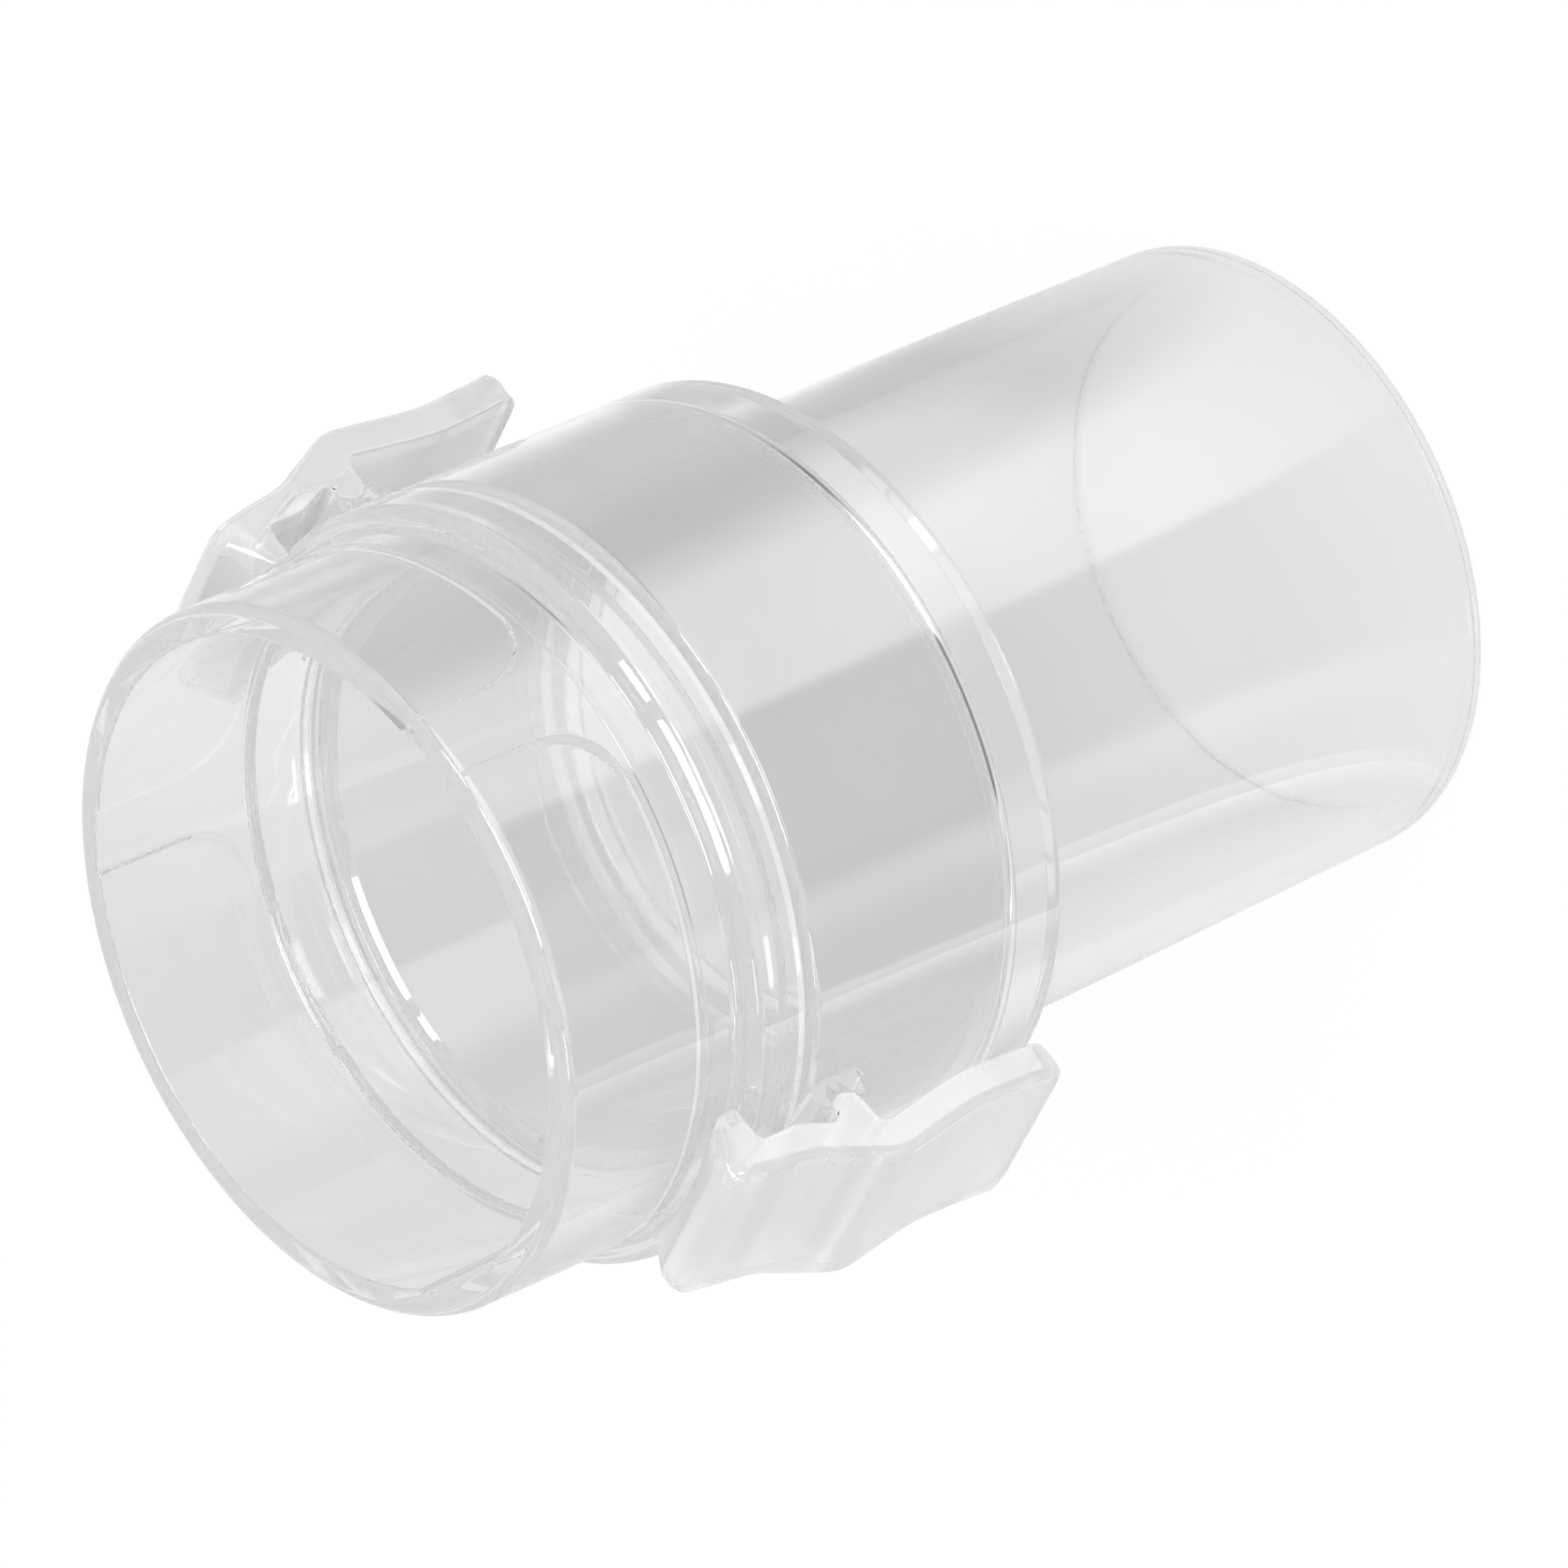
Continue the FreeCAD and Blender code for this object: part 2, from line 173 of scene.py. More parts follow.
class ConnectorFinish(bpy.types.PropertyGroup):
    """The clear plastic's colours and surface."""

    tint: colour("Tint", "What the clear plastic lets through", (0.966, 0.965, 0.969))
    deep_tint: colour("Deep tint", "Where the plastic is a little smokier", (0.938, 0.937, 0.943))
    gloss: share("Roughness", "Roughness of the polished plastic", 0.03)
    haze: share("Haze", "Share of light that the plastic scatters", 0.05)
    lever_tint: colour(
        "Lever tint", "What the levers' milkier plastic lets through", (0.998, 0.998, 1.0)
    )
    lever_deep_tint: colour(
        "Lever deep tint", "Where the levers are a little smokier", (0.986, 0.986, 0.992)
    )
    lever_gloss: share("Lever roughness", "Roughness of the levers' moulded skin", 0.34)
    lever_haze: share("Lever haze", "Share of light that the levers scatter", 0.20)
    lever_polish: share("Lever polish", "Share of clear gloss over the levers' skin", 0.6)
    # Painted glow: a ray that has met the plastic five times sees it glow at these tones, in place
    # of light scattered in it
    trapped_glow_tone: share("Trapped tone", "Tone of light caught in the plastic", 0.66)
    lever_trapped_glow_tone: share("Lever trapped tone", "Tone of light caught in a lever", 0.90)
    scuffing: share("Scuffing", "Roughness that handling adds in patches", 0.10)
    waviness: share("Waviness", "Strength of the moulded skin's ripple", 0.04)
    ripple_height: length("Ripple height", "Height of the moulded skin's ripple", 0.12)


class ConnectorStage(bpy.types.PropertyGroup):
    """Floor, light and camera."""

    azimuth: angle("Azimuth", "Camera's turn round the connector", -25.0)
    elevation: angle("Elevation", "Camera's height angle", 35.775)
    roll: angle("Roll", "Camera's turn about its own view", -113.964)
    lens: bpy.props.FloatProperty(
        name="Lens", description="Focal length in millimetres", default=279.4, min=10.0
    )
    distance: length("Distance", "From the camera to the point it looks at", 406.148)
    aim: bpy.props.FloatVectorProperty(
        name="Aim",
        description="Point that the camera looks at",
        default=(-0.000619, 0.000536, 0.022311),
        precision=5,
        subtype="XYZ",
        unit="LENGTH",
    )
    floor_colour: colour("Floor", "Colour of the plain floor", (0.90, 0.90, 0.90))
    # Painted shade: through the plastic, the floor round the connector's foot is painted this
    # darker tone
    painted_foot_shade: colour("Foot", "Floor close to the connector, seen in it", (0.84, 0.84, 0.84))
    # The screens that show on the floor are painted reflections, seen only by rays in the plastic
    foot_radius: length("Foot radius", "Where the screens begin to show on the floor", 10.5)
    screens_radius: length("Screens radius", "Where the screens show in full on the floor", 23.0)
    # Deep rays see less of the painted screens and more of the painted foot shade
    screens_loss: share("Screens loss", "Part of them that deep rays don't see", 0.25)
    plain_share: share("Plain floor", "Share of the floor's tone that takes no shadow", 0.92)
    sky_colour: colour("Studio", "Colour of the studio round the object", (0.90, 0.90, 0.90))
    sky_share: share("Sky share", "Share of plain sky over the screens", 0.55)


def in_millimetres(group):
    """The lengths of a property group as plain numbers in millimetres."""
    lengths = {name: getattr(group, name) / MM for name in group.__annotations__}
    return SimpleNamespace(**lengths)


# Shapes


# How far from each end a straight side gets a point, and how long a side has to be for it
END_MARK = 0.035
LONG_SIDE = 0.2

# Points closer than this count as one
SAME_PLACE = 1e-6


def corner_arc(before, here, after, rounding, turn):
    """A rounded corner's points, from unit vectors along its sides; see rounded_section."""
    half = math.acos(float(np.clip(before @ after, -1, 1))) / 2
    if rounding == 0 or half > math.radians(89.9):
        return here[None, :]
    start = here + before * (rounding / math.tan(half))
    bisector = (before + after) / np.linalg.norm(before + after)
    centre = here + bisector * rounding / math.sin(half)
    sweep = math.pi - 2 * half
    steps = max(2, math.ceil(math.degrees(sweep) / turn))
    spoke = start - centre
    side = here - start
    sense = np.sign(spoke[0] * side[1] - spoke[1] * side[0])
    angles = np.linspace(0, sweep, steps + 1) * sense
    across = spoke[0] * np.cos(angles) - spoke[1] * np.sin(angles)
    along = spoke[0] * np.sin(angles) + spoke[1] * np.cos(angles)
    return centre + np.stack([across, along], axis=1)


def side_marks(start, end, spacing, levels):
    """Shares of the way along a straight side at which it gets points."""
    reach = float(np.linalg.norm(end - start))
    if reach < SAME_PLACE:
        return np.empty(0)
    marks = np.linspace(0, 1, max(1, math.ceil(reach / spacing)) + 1)[1:-1]
    if reach > LONG_SIDE:
        marks = np.concatenate([marks, [END_MARK / reach, 1 - END_MARK / reach]])
    if len(levels):
        marks = np.concatenate([marks, (np.array(levels) - start[1]) / (end[1] - start[1])])
    marks = np.unique(np.round(marks, 6))
    return marks[(marks > 1e-4) & (marks < 1 - 1e-4)]


def rounded_section(corners, spacing=1.5, turn=7.0):
    """A closed outline of (radius, level) points with rounded corners.

    A corner is (radius, level, rounding, levels), where levels are extra heights at which the
    side that follows gets a point. Each corner is cut back by rounding / tan(half its angle)
    along both sides and joined by an arc about the point on its bisector at
    rounding / sin(half its angle). Straight sides get a point close to each end, which keeps
    the smooth shading of an arc from running out over them. Returns the points and, for each,
    its station: the corner's number plus how far along the following side it lies.
    """
    count = len(corners)
    places = np.array([corner[:2] for corner in corners], float)
    ahead = np.roll(places, -1, axis=0) - places
    ahead = ahead / np.linalg.norm(ahead, axis=1, keepdims=True)
    arcs = [
        corner_arc(-ahead[index - 1], places[index], ahead[index], corners[index][2], turn)
        for index in range(count)
    ]
    points = []
    stations = []
    for index, corner in enumerate(corners):
        start = arcs[index][-1]
        end = arcs[(index + 1) % count][0]
        marks = side_marks(start, end, spacing, corner[3] if len(corner) > 3 else ())
        points += [arcs[index], start + marks[:, None] * (end - start)]
        stations += [np.full(len(arcs[index]), float(index)), index + marks]
    points = np.concatenate(points)
    stations = np.concatenate(stations)
    apart = np.linalg.norm(points - np.roll(points, 1, axis=0), axis=1) > SAME_PLACE
    return points[apart], stations[apart]


def spread_turns(step, extra):
    """Angles round the axis in degrees: an even spread with extra ones merged in."""
    even = np.arange(0, 360, step)
    extra = np.asarray(extra, float) % 360
    crowded = np.abs((even[:, None] - extra[None, :] + 180) % 360 - 180).min(axis=1) < step * 0.3
    return np.unique(np.concatenate([even[~crowded], np.round(extra, 5)]))


def grid_faces(rows, columns):
    """Four-sided faces of a grid that closes on itself both ways."""
    index = np.arange(rows * columns).reshape(rows, columns)
    right = np.roll(index, -1, axis=1)
    below = np.roll(index, -1, axis=0)
    across = np.roll(right, -1, axis=0)
    return np.stack([index, right, across, below], axis=-1).reshape(-1, 4)


def signed_volume(points, faces):
    """Six times the volume that the faces enclose: above nought when they point outwards."""
    first, second, third, fourth = (points[faces[:, corner]] for corner in range(4))
    upper = np.einsum("ij,ij->i", first, np.cross(second, third)).sum()
    return upper + np.einsum("ij,ij->i", first, np.cross(third, fourth)).sum()


def make_piece(name, points, faces, caps=()):
    """A mesh object at the origin, from points in millimetres and faces that point outwards."""
    mesh = bpy.data.meshes.new(name)
    mesh.from_pydata((points * MM).tolist(), [], faces.tolist() + [list(cap) for cap in caps])
    mesh.validate()
    mesh.update()
    mesh.shade_smooth()
    mesh.set_sharp_from_angle(angle=SHARP_ANGLE)
    piece = bpy.data.objects.new(name, mesh)
    bpy.context.scene.collection.objects.link(piece)
    return piece


def turned_points(section, turns, radius_at):
    """Points of a section turned about Z: x = radius * cos(turn), y = radius * sin(turn).

    radius_at(radius, turn, level) gives each point's radius once the section is at that turn.
    """
    radius, turn = np.meshgrid(section[:, 0], np.radians(turns), indexing="ij")
    level = np.repeat(section[:, 1:], len(turns), axis=1)
    radius = radius_at(radius, turn, level)
    return np.stack([radius * np.cos(turn), radius * np.sin(turn), level], axis=-1)


def hose_half_points(sizes):
    """The hose half's skin: its section turned about Z, with the levers' two seats raised on it.

    On a seat the radius is the lesser of the seat's height / cos(angle), which is its flat top,
    and the half width / sin(angle), which is its flat side. The top follows the heel's slope
    and dips as centre - sqrt(groove radius^2 - distance^2) where the lever's knuckle lies.
    """
    root = sizes.hose_length
    front = sizes.collar_front
    radius = sizes.collar_radius
    bore = radius - sizes.collar_wall
    floor = root + sizes.floor_thickness
    airway = sizes.tip_radius - sizes.tube_wall
    hinge_level = front - sizes.hinge_setback
    hinge_radius = radius + sizes.hinge_rise
    groove = sizes.groove_radius
    slope = sizes.seat_slope
    heel = hinge_level - sizes.seat_heel
    edge = sizes.collar_edge
    groove_turn = math.acos((sizes.hinge_rise - sizes.seat_rise) / groove)
    seat_levels = np.concatenate([
        [heel - 0.01, heel + 0.01],
        heel + slope * np.linspace(0.25, 1, 4),
        hinge_level + groove * np.sin(np.linspace(-groove_turn, groove_turn, 17)),
        [front - edge - 0.05],
    ])
    section, _ = rounded_section([
        (airway, 0.0, 0.12),
        (sizes.tip_radius, 0.0, 0.35),
        (sizes.tip_radius + root * TAPER, root, 0.35),
        (radius, root, 0.18),
        (radius, front, edge),
        (bore, front, 0.08),
        (bore, floor, sizes.floor_corner),
        (airway, floor, 0.15),
    ])
    section = refine_side(section, radius, seat_levels)

    def radius_at(base, turn, level):
        fold = np.abs(np.sin(turn))
        facing = np.abs(np.cos(turn))
        risen = np.clip((level - heel) / slope, 0, 1)
        top = np.where(level < heel, 0, radius + sizes.seat_rise * risen)
        within = np.clip(groove**2 - (level - hinge_level) ** 2, 0, None)
        top = np.where(within > 0, np.minimum(top, hinge_radius - np.sqrt(within)), top)
        flank = sizes.lever_half_width / np.maximum(fold, SAME_PLACE)
        seat = np.minimum(top / np.maximum(facing, SAME_PLACE), flank)
        raised = np.clip(seat - radius, 0, None)
        on_skin = (base > radius - edge - SAME_PLACE) & (level > heel)
        return np.where(on_skin, base + raised, base)

    # Turns at a seat's upper and lower edges and just beside them, in degrees
    brow = math.degrees(math.atan2(sizes.lever_half_width, radius + sizes.seat_rise))
    foot = math.degrees(math.asin(sizes.lever_half_width / radius))
    beside = 0.15
    edges = np.array([foot, foot + beside, brow, brow - beside, (foot + brow) / 2])
    edges = np.concatenate([edges, -edges])
    return turned_points(section, spread_turns(1.0, [*edges, *(edges + 180)]), radius_at)


def refine_side(section, radius, levels):
    """The section with points put in at these levels on its side at that radius."""
    following = np.roll(section, -1, axis=0)
    ends = np.stack([section[:, 0], following[:, 0]])
    upright = np.all(np.abs(ends - radius) < SAME_PLACE, axis=0)
    margin = 0.004
    low = np.minimum(section[:, 1], following[:, 1]) + margin
    high = np.maximum(section[:, 1], following[:, 1]) - margin
    levels = np.sort(levels)
    inside = upright[:, None] & (levels > low[:, None]) & (levels < high[:, None])
    rows, columns = np.nonzero(inside)
    passed = (levels[columns] - section[rows, 1]) / (following[rows, 1] - section[rows, 1])
    added = np.stack([np.full(len(rows), radius), levels[columns]], axis=1)
    order = np.argsort(np.concatenate([np.arange(len(section)), rows + passed]))
    return np.concatenate([section, added])[order]


# The grip pads' number, the turn of the first one's middle in degrees and the width in
# millimetres over which a pad's edge fades into the bore
PAD_COUNT = 3
PAD_TURN = 89.0
PAD_FADE = 0.14


def socket_half_points(sizes):
    """The socket half's skin: its section turned about Z, with the grip pads in its mouth.

    The bore is a cone. Outside the pads it is deeper by the pads' depth. A pad's outline is a
    rectangle on the unrolled bore with rounded rear corners. The signed distance d to it is the
    length of the part of (distance to the middle - half size + rounding) that is above nought,
    less the rounding, and the depth fades with a smooth step of d.
    """
    front = sizes.collar_front
    radius = sizes.collar_radius
    mouth = sizes.mouth
    bore = sizes.mouth_bore
    spigot = radius - sizes.collar_wall - sizes.swivel_gap
    spigot_end = sizes.hose_length + sizes.spigot_start
    rear = front + sizes.flange_gap
    flange = rear + sizes.flange_thickness
    ledge = mouth - sizes.ledge_depth
    ledge_radius = bore - sizes.ledge_depth * TAPER
    pad_end = mouth - sizes.pad_length
    stop = mouth - sizes.socket_depth
    stop_radius = bore - sizes.socket_depth * TAPER
    airway = stop_radius - sizes.stop_step
    rim = bore + sizes.socket_wall
    pad_levels = np.concatenate([
        np.linspace(ledge + 0.05, pad_end + 0.16, 10),
        np.linspace(pad_end + 0.28, pad_end + 2.5, 17),
        np.linspace(pad_end + 2.9, mouth - 0.3, 4),
    ])
    deep = sizes.pad_depth
    bevel = sizes.flange_bevel
    slope = sizes.stop_bevel
    section, stations = rounded_section([
        (airway, spigot_end, 0.12),
        (spigot, spigot_end, 0.5),
        (spigot, rear, 0.12),
        (radius, rear, 0.2),
        (radius, flange - bevel, 0.3),
        (radius - bevel, flange, 0.3),
        (rim + sizes.socket_flare, flange, 0.3),
        (rim, mouth, 0.4),
        (bore + deep, mouth, 0.12, pad_levels),
        (ledge_radius + deep, ledge, 0.0),
        (ledge_radius, ledge, 0.1),
        (stop_radius, stop, 0.1),
        (airway + slope, stop, 0.08),
        (airway, stop - slope, 0.08),
    ])
    pad_turns = PAD_TURN + np.arange(PAD_COUNT) * 360 / PAD_COUNT
    gap_half = sizes.pad_spacing / 2 / bore
    pad_half = math.pi / PAD_COUNT - gap_half
    # The pads' outlines run on past the mouth, so that only their rear corners are round
    high = mouth + 6.0
    round_off = sizes.pad_corner

    def radius_at(base, turn, level):
        off_middle = turn[..., None] - np.radians(pad_turns)
        away = np.abs((off_middle + math.pi) % (2 * math.pi) - math.pi).min(axis=-1)
        along = (away - pad_half) * bore + round_off
        across = np.abs(level - (pad_end + high) / 2) - (high - pad_end) / 2 + round_off
        outside = np.hypot(np.clip(along, 0, None), np.clip(across, 0, None))
        distance = outside + np.minimum(np.maximum(along, across), 0) - round_off
        fade = np.clip(0.5 - distance / PAD_FADE, 0, 1)
        on_pad = fade * fade * (3 - 2 * fade)
        # The padded wall runs from the mouth's inner edge, corner 8, to the ledge, corner 9
        on_wall = ((stations > 7.9) & (stations < 9.0))[:, None] & (level > ledge + 0.01)
        return np.where(on_wall, base - deep * on_pad, base)

    # Turns from a gap's middle, closest together at the pads' edges, in degrees
    half = math.degrees(gap_half)
    offsets = np.concatenate([
        np.arange(0, half - 0.9, 1.2),
        half + np.array([-0.8, -0.36, -0.2, -0.08, 0.04, 0.16, 0.32, 0.6]),
        np.arange(half + 1.0, half + 13.2, 0.5),
    ])
    gaps = (pad_turns + 180 / PAD_COUNT)[:, None]
    extra = np.concatenate([gaps - offsets, gaps + offsets], axis=None)
    return turned_points(section, spread_turns(1.5, extra), radius_at)


def lever_marks(sizes):
    """Levels and radii that a lever's section and its hook share."""
    hinge = sizes.collar_front - sizes.hinge_setback
    catch = sizes.collar_front + sizes.flange_gap + sizes.flange_thickness + sizes.hook_gap
    return SimpleNamespace(
        hinge=hinge,
        catch=catch,
        nose=catch + sizes.hook_length,
        tail=hinge - sizes.tail_reach,
        hook_tip=sizes.collar_radius - sizes.hook_bite,
        hook_root=sizes.collar_radius + sizes.knee_rise - sizes.lever_thickness,
    )


def lever_section(sizes, marks):
    """A lever's outline in the XZ plane, and each point's station on it.

    The outer side runs from the nose by the knee, crest and dip to the tail. The underside
    comes back the strip's thickness further in, with the knuckle and the hook on it.
    """
    radius = sizes.collar_radius
    hinge = marks.hinge
    knee = hinge + sizes.knee_reach
    crest = hinge - sizes.crest_reach
    dip = hinge - sizes.dip_reach
    thick = sizes.lever_thickness
    knuckle = sizes.knuckle_radius
    knuckle_foot = radius + sizes.hinge_rise - knuckle
    return rounded_section([
        (radius + sizes.nose_rise, marks.nose, 0.5),
        (radius + sizes.knee_rise, knee, 3.0),
        (radius + sizes.crest_rise, crest, 2.0),
        (radius + sizes.dip_rise, dip, sizes.dip_rounding),
        (radius + sizes.tail_rise, marks.tail, 0.42),
        (radius + sizes.tail_rise - thick, marks.tail, 0.18),
        (radius + sizes.dip_rise - thick, dip, sizes.dip_rounding + thick),
        (radius + sizes.crest_rise - thick, crest, 0.35),
        (knuckle_foot, hinge - knuckle, knuckle),
        (knuckle_foot, hinge + knuckle, knuckle),
        (radius + sizes.web_rise, hinge + knuckle, 0.3),
        (marks.hook_root, knee, 0.8),
        (marks.hook_root, marks.catch, 0.25),
        (marks.hook_tip, marks.catch, 0.14),
        (marks.hook_tip, marks.nose - sizes.hook_ramp, 0.3),
        (marks.hook_tip + sizes.hook_flare, marks.nose, 0.15),
    ], spacing=0.8)


def inward_normals(section):
    """Unit normals of a closed outline, square to the mean of the two sides at each point."""
    ahead = np.roll(section, -1, axis=0) - section
    behind = section - np.roll(section, 1, axis=0)
    ahead = ahead / np.linalg.norm(ahead, axis=1, keepdims=True)
    behind = behind / np.linalg.norm(behind, axis=1, keepdims=True)
    course = ahead + behind
    course = course / np.linalg.norm(course, axis=1, keepdims=True)
    following = np.roll(section, -1, axis=0)
    area = np.sum(section[:, 0] * following[:, 1] - section[:, 1] * following[:, 0])
    return np.sign(area) * np.stack([-course[:, 1], course[:, 0]], axis=1)


def lever_points(sizes):
    """One lever's skin: the section's outline carried across its width.

    At a place across the width the outline is drawn in by rim - rim * cos(t) along its own
    normals, while the place itself is half width - rim + rim * sin(t), so that the rim is a
    quarter round whose size changes along the outline. The ends are squeezed along Z by
    corner - sqrt(corner^2 - excess^2), which rounds the plan's corners, and the hook's
    underside follows sqrt(radius^2 - y^2), so that it is round the connector's own axis.
    """
    marks = lever_marks(sizes)
    section, stations = lever_section(sizes, marks)
    half = sizes.lever_half_width

    # Stations 0 to 4.3 are the outer side, with the outer rim's rounding
    outside = np.interp(stations, [0, 4.3, 4.8, 15.3, 15.9, 16], [1, 1, 0, 0, 1, 1])
    rim = (sizes.inner_rim + (sizes.lever_rim - sizes.inner_rim) * outside)[:, None]

    # Places across the width, from one rim over the flat face to the other
    face = np.sin(np.linspace(-math.pi / 2, math.pi / 2, 27))
    bend = np.radians([15, 30, 45, 60, 75, 90, 90])
    place = np.concatenate([np.full(len(bend), -1.0), face, np.full(len(bend), 1.0)])
    lift = np.concatenate([bend[::-1], np.zeros(len(face)), bend])
    inset = rim * (1 - np.cos(lift))
    # A last ring just inside the rim's foot keeps the flat cap's shading flat
    inset[:, [0, -1]] += 0.04
    inward = inward_normals(section)
    x = section[:, :1] + inward[:, :1] * inset
    z = section[:, 1:] + inward[:, 1:] * inset
    y = place * (half - rim + rim * np.sin(lift))

    # The hook's underside is wholly round, and less so from there up to the strip
    on_hook = (z > marks.catch - sizes.lever_rim) & (x < marks.hook_root)
    roundness = np.clip((marks.hook_root - x) / (marks.hook_root - marks.hook_tip), 0, 1)
    roundness = np.where(x < marks.hook_tip + 0.02, 1, roundness)
    slid = np.sqrt(np.clip(x**2 - y**2, 0, None)) - x
    x = np.where(on_hook, x + slid * roundness, x)

    # Length over which the squeeze of the ends fades out
    corner = sizes.lever_corner
    fade = corner * 1.45
    excess = np.clip(np.abs(y) - (half - corner), 0, corner)
    drop = corner - np.sqrt(corner**2 - excess**2)
    near_nose = np.clip((z - marks.nose + fade) / fade, 0, 1)
    near_tail = np.clip((marks.tail - z + fade) / fade, 0, 1)
    z = z - drop * near_nose + drop * near_tail
    return np.stack([x, y, z], axis=-1)


def closed_tube(points):
    """Faces of a grid whose rows close on themselves, with a flat cap at its two ends."""
    rows, columns = points.shape[:2]
    index = np.arange(rows * columns).reshape(rows, columns)
    below = np.roll(index, -1, axis=0)
    faces = np.stack(
        [index[:, :-1], index[:, 1:], below[:, 1:], below[:, :-1]], axis=-1
    ).reshape(-1, 4)
    return faces, index[:, 0], index[:, -1]


# Materials


# Tone at each azimuth in degrees, counted from +X, for what the plastic mirrors: world light, and
# painted reflections on the floor
SCREENS = (
    (-180.0, 0.50),
    (-165.0, 0.50),
    (-158.0, 0.85),
    (-153.0, 0.85),
    (-148.0, 0.04),
    (-101.5, 0.06),
    (-99.0, 1.45),
    (-84.0, 1.55),
    (-64.0, 1.40),
    (-55.0, 0.60),
    (-48.0, 0.06),
    (-37.0, 0.05),
    (-28.0, 0.30),
    (-14.0, 0.50),
    (4.0, 0.50),
    (14.0, 0.60),
    (26.0, 1.00),
    (45.0, 0.96),
    (58.0, 0.80),
    (66.0, 0.74),
    (75.0, 0.76),
    (88.0, 0.80),
    (104.0, 0.76),
    (120.0, 0.88),
    (158.0, 0.88),
    (172.0, 0.55),
    (180.0, 0.50),
)
BRIGHTEST = 2.0

# Heights between which the screens fade into open sky, as sines of the elevation
SCREENS_TOP = 0.1
OPEN_SKY = 0.7

# How far inside a polished edge the skin begins to grow smooth, and where it is smooth
ROUGH_WITHIN = 0.9 * MM
SMOOTH_WITHIN = 0.3 * MM


class Wire:
    """A node socket with arithmetic: an expression on wires adds Math nodes to their tree."""

    def __init__(self, tree, socket):
        self.tree = tree
        self.socket = socket

    def maths(self, operation, first, second, clamp=False):
        settings = {"operation": operation, "use_clamp": clamp}
        return add(self.tree, "ShaderNodeMath", settings, {0: first, 1: second})[0]

    def __add__(self, other):
        return self.maths("ADD", self, other)

    def __radd__(self, other):
        return self.maths("ADD", other, self)

    def __sub__(self, other):
        return self.maths("SUBTRACT", self, other)

    def __rsub__(self, other):
        return self.maths("SUBTRACT", other, self)

    def __mul__(self, other):
        return self.maths("MULTIPLY", self, other)

    def __rmul__(self, other):
        return self.maths("MULTIPLY", other, self)

    def __truediv__(self, other):
        return self.maths("DIVIDE", self, other)

    def greater(self, other):
        return self.maths("MAXIMUM", self, other)

    def lesser(self, other):
        return self.maths("MINIMUM", self, other)

    def magnitude(self):
        return self.maths("ABSOLUTE", self, 0.0)

    def angle(self, across):
        """The angle of a slope that rises by this and goes across by the other."""
        return self.maths("ARCTAN2", self, across)

    def between(self, low, high):
        """0 below low, 1 above high and a straight rise from one to the other."""
        return self.maths("MULTIPLY", self - low, 1 / (high - low), clamp=True)


def add(tree, kind, settings=None, inputs=None):
    """A node of this kind with its settings made first and its sockets fed by values or wires."""
    node = tree.nodes.new(kind)
    for name, value in (settings or {}).items():
        if name == "stops":
            for place, tone in value:
                stop = node.color_ramp.elements.new(place)
                stop.color = (tone, tone, tone, 1)
            node.color_ramp.elements.remove(node.color_ramp.elements[0])
            node.color_ramp.elements.remove(node.color_ramp.elements[-1])
            continue
        setattr(node, name, value)
    for name, value in (inputs or {}).items():
        socket = node.inputs[name]
        if isinstance(value, Wire):
            tree.links.new(value.socket, socket)
        else:
            socket.default_value = value
    return [Wire(tree, socket) for socket in node.outputs]


def named(wires, name):
    """The wire from the output with this name."""
    return next(wire for wire in wires if wire.socket.name == name)


def mix_colours(tree, factor, first, second):
    """From the first colour to the second by the factor."""
    return add(tree, "ShaderNodeMix", {"data_type": "RGBA"}, {0: factor, 6: first, 7: second})[2]


def noise(tree, place, scale, detail=0.0):
    """Soft noise between nought and one."""
    inputs = {"Vector": place, "Scale": scale, "Detail": detail}
    return add(tree, "ShaderNodeTexNoise", {}, inputs)[0]


def new_material(name):
    """A node material with an empty tree."""
    material = bpy.data.materials.new(name)
    material.use_nodes = True
    material.node_tree.nodes.clear()
    return material


